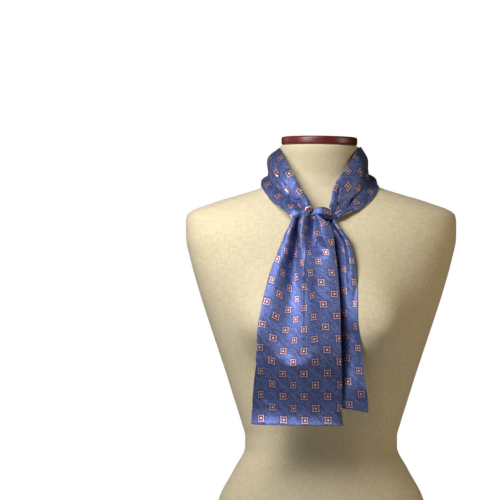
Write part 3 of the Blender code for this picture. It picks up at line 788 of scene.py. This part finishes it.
class Tail:
    """A hanging end of the cravat: its fold lines, joined across by smooth sections."""

    def __init__(self, lines, across, behind, plane, ends, tucks, cut_across, cut_up):
        columns = "height " + lines
        self.across = Table(columns, across)
        self.behind = Table(columns, behind)
        self.cut_across = Table(columns, cut_across)
        self.cut_up = Table(columns, cut_up)
        self.plane = Table(PLANE_COLUMNS, plane)
        self.tops = np.array(ends[0][1:]) * MM
        self.bottoms = np.array(ends[1][1:]) * MM
        self.tucks = np.array(tucks) * MM

    def lay(self, alongs, acrosses):
        """Places and flat measures of the cloth, from the knot down and from hem to hem."""
        own = np.arange(len(self.tops))
        fall = (self.bottoms - self.tops)[:, None] * alongs
        heights = self.tops[:, None] + fall
        columns = self.across.read(heights)
        x = columns[own, :, own]
        share = np.clip((x - columns[..., 0]) / (columns[..., -1] - columns[..., 0]), 0.0, 1.0)
        sides = self.plane.read(heights)
        plane = sides[..., 0] + (sides[..., 1] - sides[..., 0]) * share
        tuck = self.tucks[:, None] * np.maximum(0.0, 1.0 + fall / TUCK_LENGTH) ** 2
        y = self.behind.read(heights)[own, :, own] + tuck - plane
        lines = np.stack([x, y, heights], axis=-1)
        marks = np.stack([self.cut_across.read(heights)[own, :, own],
                          self.cut_up.read(heights)[own, :, own]], axis=-1)
        points = curve_through(lines, acrosses).transpose(1, 0, 2)
        cut = monotone_curve(own.astype(float), marks, acrosses).transpose(1, 0, 2)
        return clear_of_form(points, REST_GAP + SILK_THICKNESS), cut


FRONT = Tail(FRONT_LINES, FRONT_ACROSS, FRONT_BEHIND, FRONT_PLANE, FRONT_ENDS, FRONT_TUCKS,
             FRONT_CUT_ACROSS, FRONT_CUT_UP)
BACK = Tail(BACK_LINES, BACK_ACROSS, BACK_BEHIND, BACK_PLANE, BACK_ENDS, BACK_TUCKS,
            BACK_CUT_ACROSS, BACK_CUT_UP)
HEM_STEPS = np.array([0.0, 0.25, 0.55, 0.8, 1.1, 1.5]) * HEM_WIDTH


def steps_between_hems(length, count, first_hem=True):
    """Places from one hem to the other: close together in the hems, even between them."""
    start = HEM_STEPS if first_hem else HEM_STEPS[:1]
    inner = np.linspace(start[-1], length - HEM_STEPS[-1], count)
    return np.concatenate([start[:-1], inner, length - HEM_STEPS[::-1][1:]])


def lay_tail(tail, width, length, across_count, along_count):
    """A tail laid on a grid that is even on the flat cloth at its lower hem."""
    marks = tail.cut_across.rows[0, 1:]
    over = steps_between_hems(width, across_count) + marks[0]
    acrosses = np.interp(over, marks, np.arange(len(marks)))
    alongs = steps_between_hems(length, along_count, first_hem=False) / length
    return tail.lay(alongs, acrosses)


# %% Make the front tail
FRONT_WIDTH = 137.0 * MM
FRONT_LENGTH = 312.0 * MM
FRONT_CREASES = (
    (98, 285, 89, 248, 83.5, 222, 2.6, -1.2, -1.8, -2.2, 0),
    (83.5, 222, 79, 190, 80.5, 128, 2.6, -2.2, -2.2, -0.5, 0),
    (8, 140, 28.5, 112.5, 60, 84, 11, -1, -2, -2.5, 0),
    (60, 84, 82, 86, 105, 114, 9, -2.5, -2, -0.5, 0),
    (22, 88, 21.5, 60, 22, 30, 1.3, 0.3, 0.5, 0.3, 0),
    (124, 88, 124, 60, 123.5, 30, 1.3, 0.3, 0.5, 0.3, 0),
)
front_points, front_cut = lay_tail(FRONT, FRONT_WIDTH, FRONT_LENGTH, across_count=118,
                                   along_count=262)
front_points = press_creases(front_points, front_cut, FRONT_CREASES)
front_tail = draped_sheet("front_tail_silk", front_points, front_cut, hem_measures(front_points),
                          SILK_THICKNESS, HEM_THICKNESS)
join_up(front_tail, SILK, ["front_tail"])
print("front tail:", len(front_tail.data.polygons), "faces")

# %% Make the back tail
BACK_WIDTH = 141.0 * MM
BACK_LENGTH = 280.0 * MM
BACK_CREASES = (
    (120, 20, 121, 110, 122, 200, 5, 0, -0.8, -1.2, 0),
)
back_points, back_cut = lay_tail(BACK, BACK_WIDTH, BACK_LENGTH, across_count=104,
                                 along_count=190)
back_points = press_creases(back_points, back_cut, BACK_CREASES)
back_tail = draped_sheet("back_tail_silk", back_points, back_cut, hem_measures(back_points),
                         SILK_THICKNESS, HEM_THICKNESS)
join_up(back_tail, SILK, ["back_tail"])
print("back tail:", len(back_tail.data.polygons), "faces")

# %% [markdown]
# ## The band round the neck
# The middle of the cravat is doubled lengthwise and goes round the neck as a soft, rolled band.
# One grid runs the whole way round, between an inner (upper) and an outer (lower) edge, and a
# profile with two rolls and a crease between them gives it its body.

# %% The band's stations
BAND_COLUMNS = (
    "inner_x inner_y inner_z outer_x outer_y outer_z"
    " crease_place inner_roll crease_out outer_roll"
)
BAND_STATIONS = (
    (-16.5, -100.5, 562, -43, -105, 550, 0.42, 0.5, -0.5, 0.5),
    (-16.8, -101.5, 565.5, -45.5, -104.5, 552.5, 0.42, 1.5, -1.5, 1.5),
    (-19.8, -92, 576, -54.5, -95, 561.5, 0.44, 3.5, -3, 3.5),
    (-33, -74, 598, -69, -71, 572.5, 0.52, 5.5, -2.5, 4),
    (-44.3, -62, 619.5, -81, -46, 585, 0.60, 7, -2.5, 4),
    (-55.7, -44, 641, -88, -17, 598, 0.68, 8.5, -2.5, 3.5),
    (-61, -16, 655, -88.5, 12, 602, 0.74, 9.5, -2, 3),
    (-61, 15, 657.5, -80, 42, 606, 0.70, 8, -2, 3.5),
    (-43, 42, 658, -52, 66, 609, 0.60, 6, -2.5, 5),
    (0, 55, 658.5, 0, 75, 610, 0.52, 5, -2.5, 5.5),
    (43, 42, 658, 53, 65, 608.5, 0.55, 5.5, -2.5, 5),
    (60, 15, 658, 78, 38, 605, 0.66, 3.5, -4, 4),
    (54.5, -16, 657, 84.5, 8, 599.5, 0.74, 2.5, -5, 2.5),
    (47.5, -36, 646, 82, -22, 589.5, 0.72, 6, -1, 3),
    (40, -47, 631, 73, -50, 575, 0.68, 7.5, 0, 4),
    (27.8, -58, 615.5, 55.5, -72, 565, 0.67, 7.5, -0.5, 4),
    (15.5, -71, 596, 36, -84, 558.5, 0.68, 6.5, -0.5, 3.5),
    (12.5, -82, 579, 26, -88, 553, 0.66, 4.5, 0, 2.5),
    (9, -88, 568, 18.5, -87, 549.5, 0.62, 1.5, 0, 0.5),
)
BAND = Table(BAND_COLUMNS, BAND_STATIONS)
INNER_ROLL_SHARE = 0.45
BAND_STEPS = 330
BAND_ACROSS_STEPS = 70
BAND_FLAT_WIDTH = 69.0 * MM
BAND_FLAT_LENGTH = 464.0 * MM
BAND_PRINT_START = np.array([7.5, 12.0]) * MM
BAND_TUCK_SHARE = 0.07
BAND_THICKNESS = 1.2 * MM


def lay_band():
    """Places of the band from knot to knot and from inner to outer edge, even marks on it, and
    its flat measures. Cloth that a narrow place has no room for is tucked in at the crease."""
    shares = np.linspace(0.0, 1.0, BAND_ACROSS_STEPS + 1)
    stations = np.linspace(0.0, BAND.last, BAND_STEPS + 1)
    inner = BAND.curve("inner_x inner_y inner_z", stations)
    outer = BAND.curve("outer_x outer_y outer_z", stations)
    outward = np.cross(BAND.heading("inner_x inner_y inner_z", stations), outer - inner)
    outward /= np.linalg.norm(outward, axis=-1, keepdims=True)
    rolls = BAND.curve("crease_place inner_roll crease_out outer_roll", stations)
    rows = []
    for index, (crease, inner_roll, crease_out, outer_roll) in enumerate(rolls):
        crease = crease / MM
        places = np.array([0.0, INNER_ROLL_SHARE * crease, crease, 0.5 * (1.0 + crease), 1.0])
        outs = np.array([0.0, inner_roll, crease_out, outer_roll, 0.0])
        out = monotone_curve(places, outs, shares)[:, None]
        rows.append(inner[index] + (outer - inner)[index] * shares[:, None]
                    + outward[index] * out)
    length = run_lengths(np.array(rows)[:, BAND_ACROSS_STEPS // 2][None], 1)[0]
    along = length / length[-1] * BAND_FLAT_LENGTH
    marks = np.stack(np.meshgrid(shares * BAND_FLAT_WIDTH, along), axis=-1)
    cut = marks.copy()
    across = run_lengths(np.array(rows), 1)
    tucked = smooth_share(shares - rolls[:, :1] / MM, -BAND_TUCK_SHARE, BAND_TUCK_SHARE)
    cut[..., 0] = across + (BAND_FLAT_WIDTH - across[:, -1:]) * tucked
    return clear_of_form(np.array(rows), REST_GAP + SILK_THICKNESS), marks, cut


BAND_CREASES = (
    (14.5, 111.5, 21.5, 94.5, 27.5, 79.5, 2.5, 0.8, 1.8, 2.7, 0.4),
    (27.5, 79.5, 29.5, 60, 33.5, 45, 2.5, 2.7, 3.3, 3.8, 0.4),
    (33.5, 45, 30.5, 31.5, 19.5, 24, 2.8, 3.8, 4.5, 5.2, 0),
    (4, 71, 6, 44.5, 9, 14, 4.5, -1.5, -3, -3, 0),
    (36.5, 373.5, 42.5, 402.5, 45.5, 422, 2.5, 1.2, 3, 4.5, 0.5),
    (45.5, 422, 55, 440.5, 53, 464, 2.8, 4.5, 4.5, 3, 0.5),
    (22.5, 419.5, 23.5, 436, 24.5, 446.5, 2, 1.5, 2.7, 2.2, 0),
    (17.5, 437, 24, 444.5, 32.5, 452.5, 2.2, 3, 4.5, 4.5, 0),
    (8, 422.5, 10, 440.5, 12, 457, 4.5, -2.2, -4.5, -4.5, 0),
)
band_points, band_marks, band_cut = lay_band()
band_points = press_creases(band_points, band_marks, BAND_CREASES)
no_hem = np.zeros(band_cut.shape) + (NO_HEM, 0.0)
neck_band = draped_sheet("neck_band_silk", band_points, band_cut - BAND_PRINT_START,
                         no_hem, BAND_THICKNESS, BAND_THICKNESS)
join_up(neck_band, SILK, ["band_left", "band_back", "band_right"])
print("band:", len(neck_band.data.polygons), "faces")

# %% [markdown]
# ## Closed bodies lofted through rings
# The knot's wrap, the form and its cap are closed bodies. Each starts as one circle whose rim
# is extruded from ring to ring and is closed at the end.


# %% Loft helpers
def map_points(thing, layer, measure):
    """A UV map that holds a measure of each point, from its number and its place."""
    uv_map = thing.data.uv_layers.new(name=layer)
    for loop in thing.data.loops:
        place = thing.data.vertices[loop.vertex_index].co
        uv_map.data[loop.index].uv = measure(loop.vertex_index, place)


def loft(name, rings):
    """A closed body through rings of equally many points, with flat ends."""
    shape = bmesh.new()
    count = len(rings[0])
    made = bmesh.ops.create_circle(shape, cap_ends=True, radius=1.0, segments=count)
    loop = sorted(made["verts"], key=lambda vert: math.atan2(vert.co.y, vert.co.x) % math.tau)
    for vert, place in zip(loop, rings[0]):
        vert.co = Vector(place)
    for ring in rings[1:]:
        edges = [shape.edges.get((loop[i], loop[(i + 1) % count])) for i in range(count)]
        raised = bmesh.ops.extrude_edge_only(shape, edges=edges)
        fresh = {item for item in raised["geom"] if isinstance(item, bmesh.types.BMVert)}
        following = []
        for vert in loop:
            ends = {edge.other_vert(vert) for edge in vert.link_edges}
            following.append((ends & fresh).pop())
        loop = following
        for vert, place in zip(loop, ring):
            vert.co = Vector(place)
    shape.faces.new(loop)
    bmesh.ops.recalc_face_normals(shape, faces=shape.faces)
    mesh = bpy.data.meshes.new(name)
    shape.to_mesh(mesh)
    shape.free()
    return bpy.data.objects.new(name, mesh)


# %% [markdown]
# ## The wrap of the knot
# The cloth that crosses over in front is a short pleated roll. It is a tube round a bent centre
# line, with shallow pleats that run along it and twist a little.

# %% Make the wrap
KNOT_COLUMNS = "x y z half_height half_depth"
KNOT_STATIONS = (
    (-34.5, -85, 553.5, 2.6, 2.8),
    (-27, -87.5, 556, 4.2, 4.5),
    (-17, -91, 558, 5.8, 6.5),
    (-8, -94.5, 559.8, 7.2, 8.5),
    (0, -95.5, 560, 8, 9.2),
    (6.5, -94.5, 557.5, 7.6, 8.4),
    (12, -91.5, 554.5, 6.2, 6.2),
    (18, -88.5, 552.5, 4, 3.5),
)
KNOT = Table(KNOT_COLUMNS, KNOT_STATIONS)
KNOT_PLEATS = 5
KNOT_PLEAT_SHARE = 0.06
KNOT_PLEAT_TWIST = 0.6
KNOT_RINGS = 72
KNOT_SEGMENTS = 96


def knot_ring(station):
    """The points round the wrap at one station."""
    half_height, half_depth = KNOT.curve("half_height half_depth", station)
    heading = KNOT.heading("x y z", station)
    depth = np.cross((0.0, 0.0, 1.0), heading)
    depth /= np.linalg.norm(depth)
    height = np.cross(heading, depth)
    turn = np.linspace(0.0, math.tau, KNOT_SEGMENTS, endpoint=False)
    size = 1.0 + KNOT_PLEAT_SHARE * np.cos(KNOT_PLEATS * turn + KNOT_PLEAT_TWIST * station)
    return (KNOT.curve("x y z", station)
            + depth * (half_depth * size * np.cos(turn))[:, None]
            + height * (half_height * size * np.sin(turn))[:, None])


def wrap_measures(number, place):
    """Where a point of the wrap is on the cloth: how far round it, and how far along."""
    return BAND_FLAT_WIDTH * (number % KNOT_SEGMENTS) / KNOT_SEGMENTS, place.x


knot_wrap = loft("knot_wrap_silk", [knot_ring(KNOT.last * i / KNOT_RINGS)
                                    for i in range(KNOT_RINGS + 1)])
map_points(knot_wrap, "cut", wrap_measures)
map_points(knot_wrap, "hem", lambda number, place: (NO_HEM, 0.0))
join_up(knot_wrap, SILK, ["knot"])
print("wrap:", len(knot_wrap.data.polygons), "faces")

# %% [markdown]
# ## The form's jersey
# A dress form is padded and covered in a stretched cream jersey of slubby yarn. Its threads are
# under a millimetre, so they are a fine bump in the finish, with a little colour from the slubs
# that run along and across, and only the large shape is mesh.


# %% The jersey's finish
WALES_A_METRE = 900.0
COURSES_A_METRE = 1100.0
LEVEL_SLUB_SCALES = (90.0, 620.0)
UPRIGHT_SLUB_SCALES = (560.0, 110.0)
FUZZ_SCALE = 1500.0
CREAM = (0.82, 0.70, 0.460, 1.0)
CREAM_DEEP = (0.76, 0.64, 0.395, 1.0)


def jersey_finish(name):
    """Cream cotton jersey with slubs both ways and a slight unevenness."""
    jersey = Finish(name, Roughness=0.85, Sheen_Weight=0.10, Sheen_Roughness=0.5)
    place, around, up = jersey.measures("cut")
    wales = jersey.math("SINE", jersey.math("MULTIPLY", around, math.tau * WALES_A_METRE))
    courses = jersey.math("SINE", jersey.math("MULTIPLY", up, math.tau * COURSES_A_METRE))
    knit = jersey.math("MULTIPLY", wales, courses)
    level = jersey.noise(jersey.stretch(place, *LEVEL_SLUB_SCALES), 1.0, detail=3.0)
    upright = jersey.noise(jersey.stretch(place, *UPRIGHT_SLUB_SCALES), 1.0, detail=3.0)
    fuzz = jersey.noise(place, FUZZ_SCALE)
    colour = jersey.mix(jersey.noise(place, 16.0, detail=5.0), CREAM_DEEP, CREAM)
    slubs = jersey.math("ADD", level, upright)
    colour = jersey.shade(colour, jersey.smooth_step(slubs, 0.75, 1.25, 0.91, 1.06))
    colour = jersey.shade(colour, jersey.smooth_step(fuzz, 0.3, 0.7, 0.95, 1.02))
    jersey.feed(jersey.shader, Base_Color=colour)
    raised = jersey.math("MULTIPLY_ADD", slubs, 3.0, jersey.math("ADD", knit, fuzz))
    jersey.bump(raised, 0.10 * MM, 0.6)
    return jersey.material


JERSEY = jersey_finish("form_jersey")

# %% Make the form
FORM_SEGMENTS = 192
FORM_RING_STEP = 4.5 * MM
FORM_MAP_RADIUS = 0.14


def quarter_round(radius, steps):
    """Rises and insets round an edge, from the flat up to the upright side."""
    turns = [0.5 * math.pi * step / steps for step in range(steps)]
    return [(radius * (1.0 - math.cos(t)), radius * (1.0 - math.sin(t))) for t in turns]


def jersey_measures(_, place):
    """Where a point of the form is on its jersey: how far round, and how high."""
    return FORM_MAP_RADIUS * math.atan2(place.x, -place.y), place.z


levels = quarter_round(BASE_EDGE_ROUND, FORM_EDGE_STEPS)
upright = NECK_TOP - NECK_EDGE_ROUND - BASE_EDGE_ROUND
ring_count = round(upright / FORM_RING_STEP)
levels += [(BASE_EDGE_ROUND + upright * i / ring_count, 0.0) for i in range(ring_count + 1)]
neck_edge = quarter_round(NECK_EDGE_ROUND, FORM_EDGE_STEPS)
levels += [(NECK_TOP - rise, inset) for rise, inset in reversed(neck_edge)]
azimuths = np.linspace(0.0, math.tau, FORM_SEGMENTS, endpoint=False)
azimuths = (azimuths + math.pi) % math.tau - math.pi
torso = loft("form_torso_jersey", [form_ring(azimuths, height, inset)
                                   for height, inset in levels])
map_points(torso, "cut", jersey_measures)
join_up(torso, JERSEY, ["form_torso"])
print("form:", len(torso.data.polygons), "faces")

# %% [markdown]
# ## The turned cap
# The neck ends in a polished mahogany disc. Its grain runs across it, and a clear coat gives it
# the long soft highlight along its rounded edge.


# %% The mahogany's finish
WOOD_DARK = (0.090, 0.009, 0.006, 1.0)
WOOD_RED = (0.190, 0.022, 0.014, 1.0)
WOOD_PORE = (0.026, 0.005, 0.004, 1.0)


def mahogany_finish(name):
    """Polished dark red wood with fine grain across the cap."""
    wood = Finish(name, Roughness=0.42, Coat_Weight=0.35, Coat_Roughness=0.30)
    place = wood.add("ShaderNodeTexCoord").outputs["Object"]
    fibres = wood.stretch(place, 14.0, 140.0, 140.0)
    grain = wood.noise(fibres, 3.0, detail=6.0, roughness=0.6)
    pores = wood.noise(fibres, 14.0, detail=3.0)
    colour = wood.mix(wood.smooth_step(grain, 0.35, 0.68), WOOD_DARK, WOOD_RED)
    colour = wood.mix(wood.smooth_step(pores, 0.60, 0.75, 0.0, 0.5), colour, WOOD_PORE)
    wood.feed(wood.shader, Base_Color=colour)
    wood.bump(pores, 0.05 * MM, 0.3)
    return wood.material


MAHOGANY = mahogany_finish("cap_mahogany")

# %% Make the cap
CAP_BOTTOM = 661.0 * MM
CAP_TOP = 673.0 * MM
CAP_HALF_WIDTH = 56.4 * MM
CAP_HALF_DEPTH = 57.5 * MM
CAP_CENTRE_Y = -7.0 * MM
CAP_EDGE_ROUND = 3.0 * MM
CAP_EDGE_STEPS = 8
CAP_SEGMENTS = 144

edge = quarter_round(CAP_EDGE_ROUND, CAP_EDGE_STEPS)
cap_levels = [(CAP_BOTTOM + rise, inset) for rise, inset in edge]
cap_levels += [(CAP_BOTTOM + CAP_EDGE_ROUND, 0.0), (CAP_TOP - CAP_EDGE_ROUND, 0.0)]
cap_levels += [(CAP_TOP - rise, inset) for rise, inset in reversed(edge)]
cap_turns = np.linspace(0.0, math.tau, CAP_SEGMENTS, endpoint=False)
cap_rings = []
for height, inset in cap_levels:
    ring = np.stack([(CAP_HALF_WIDTH - inset) * np.cos(cap_turns),
                     CAP_CENTRE_Y + (CAP_HALF_DEPTH - inset) * np.sin(cap_turns),
                     np.full(CAP_SEGMENTS, height)], axis=-1)
    cap_rings.append(lean(ring))
cap = loft("form_cap_mahogany", cap_rings)
join_up(cap, MAHOGANY, ["form_neck_cap"])
print("cap:", len(cap.data.polygons), "faces")

# %% [markdown]
# ## Floor
# The form stands on a small round of plain pale board, made as one circle. The white behind it
# is the studio's own light, so the board needs no wall.

# %% Make the floor
FLOOR_RADIUS = 0.75
BOARD_PALE = (0.73, 0.73, 0.73, 1.0)
BOARD_GREY = (0.70, 0.70, 0.70, 1.0)
shape = bmesh.new()
bmesh.ops.create_circle(shape, cap_ends=True, radius=FLOOR_RADIUS, segments=96)
mesh = bpy.data.meshes.new("studio_floor")
shape.to_mesh(mesh)
shape.free()
floor = bpy.data.objects.new("studio_floor", mesh)
bpy.context.scene.collection.objects.link(floor)
board = Finish("pale_board", Roughness=0.9)
mottle = board.noise(board.add("ShaderNodeTexCoord").outputs["Object"], 40.0)
board.feed(board.shader, Base_Color=board.mix(mottle, BOARD_GREY, BOARD_PALE))
mesh.materials.append(board.material)

# %% [markdown]
# ## Light and camera
# Two soft key lamps stand on the left, one high and one lower, with a warm fill on the right and
# a faint one behind. All are so close that the light falls off towards the hips. The studio
# behind is bright but sends little light back. The camera has a long lens and stands level.

# %% Lights
LIGHT_TARGET = Vector((-0.03, -0.08, 0.50))


def softbox(name, azimuth, elevation, distance, size, power, colour):
    """A square area light at an azimuth from the front (+X is positive) and an elevation."""
    lamp = bpy.data.lights.new(name, "AREA")
    lamp.size = size
    lamp.energy = power
    lamp.color = colour
    thing = bpy.data.objects.new(name, lamp)
    turn, rise = math.radians(azimuth), math.radians(elevation)
    away = Vector((math.sin(turn) * math.cos(rise), -math.cos(turn) * math.cos(rise),
                   math.sin(rise)))
    thing.location = LIGHT_TARGET + distance * away
    thing.rotation_euler = away.to_track_quat("Z", "Y").to_euler()
    bpy.context.scene.collection.objects.link(thing)


softbox("key_light", -30.0, 40.0, 0.85, 0.35, 4.8, (0.98, 1.0, 1.04))
softbox("low_key_light", -45.0, 25.0, 0.85, 0.35, 4.2, (1.0, 1.0, 1.04))
softbox("left_fill_light", -120.0, 20.0, 1.15, 0.5, 0.8, (1.1, 1.0, 0.8))
softbox("right_fill_light", 75.0, 10.0, 1.15, 0.5, 2.5, (1.21, 1.0, 0.70))

# %% The studio's white
AMBIENT = 0.004
world = bpy.data.worlds.new("studio_world")
bpy.context.scene.world = world
world.use_nodes = True
studio = world.node_tree
backdrop = studio.nodes["Background"]
backdrop.inputs["Color"].default_value = (1.0, 1.0, 1.0, 1.0)
seen = studio.nodes.new("ShaderNodeLightPath")
strength = studio.nodes.new("ShaderNodeMapRange")
strength.inputs["To Min"].default_value = AMBIENT
strength.inputs["To Max"].default_value = 1.0
studio.links.new(seen.outputs["Is Camera Ray"], strength.inputs["Value"])
studio.links.new(strength.outputs["Result"], backdrop.inputs["Strength"])
bpy.context.scene.view_settings.view_transform = "Standard"

# %% Camera
CAMERA_PLACE = (-0.1058, -3.5, 0.5055)
FRAME_WIDTH_AT_FORM = 0.745
SENSOR_WIDTH = 36.0
lens = bpy.data.cameras.new("photo_camera")
lens.sensor_width = SENSOR_WIDTH
lens.lens = SENSOR_WIDTH * -CAMERA_PLACE[1] / FRAME_WIDTH_AT_FORM
camera = bpy.data.objects.new("photo_camera", lens)
camera.location = CAMERA_PLACE
camera.rotation_euler = (math.radians(90.0), 0.0, 0.0)
bpy.context.scene.collection.objects.link(camera)
bpy.context.scene.camera = camera
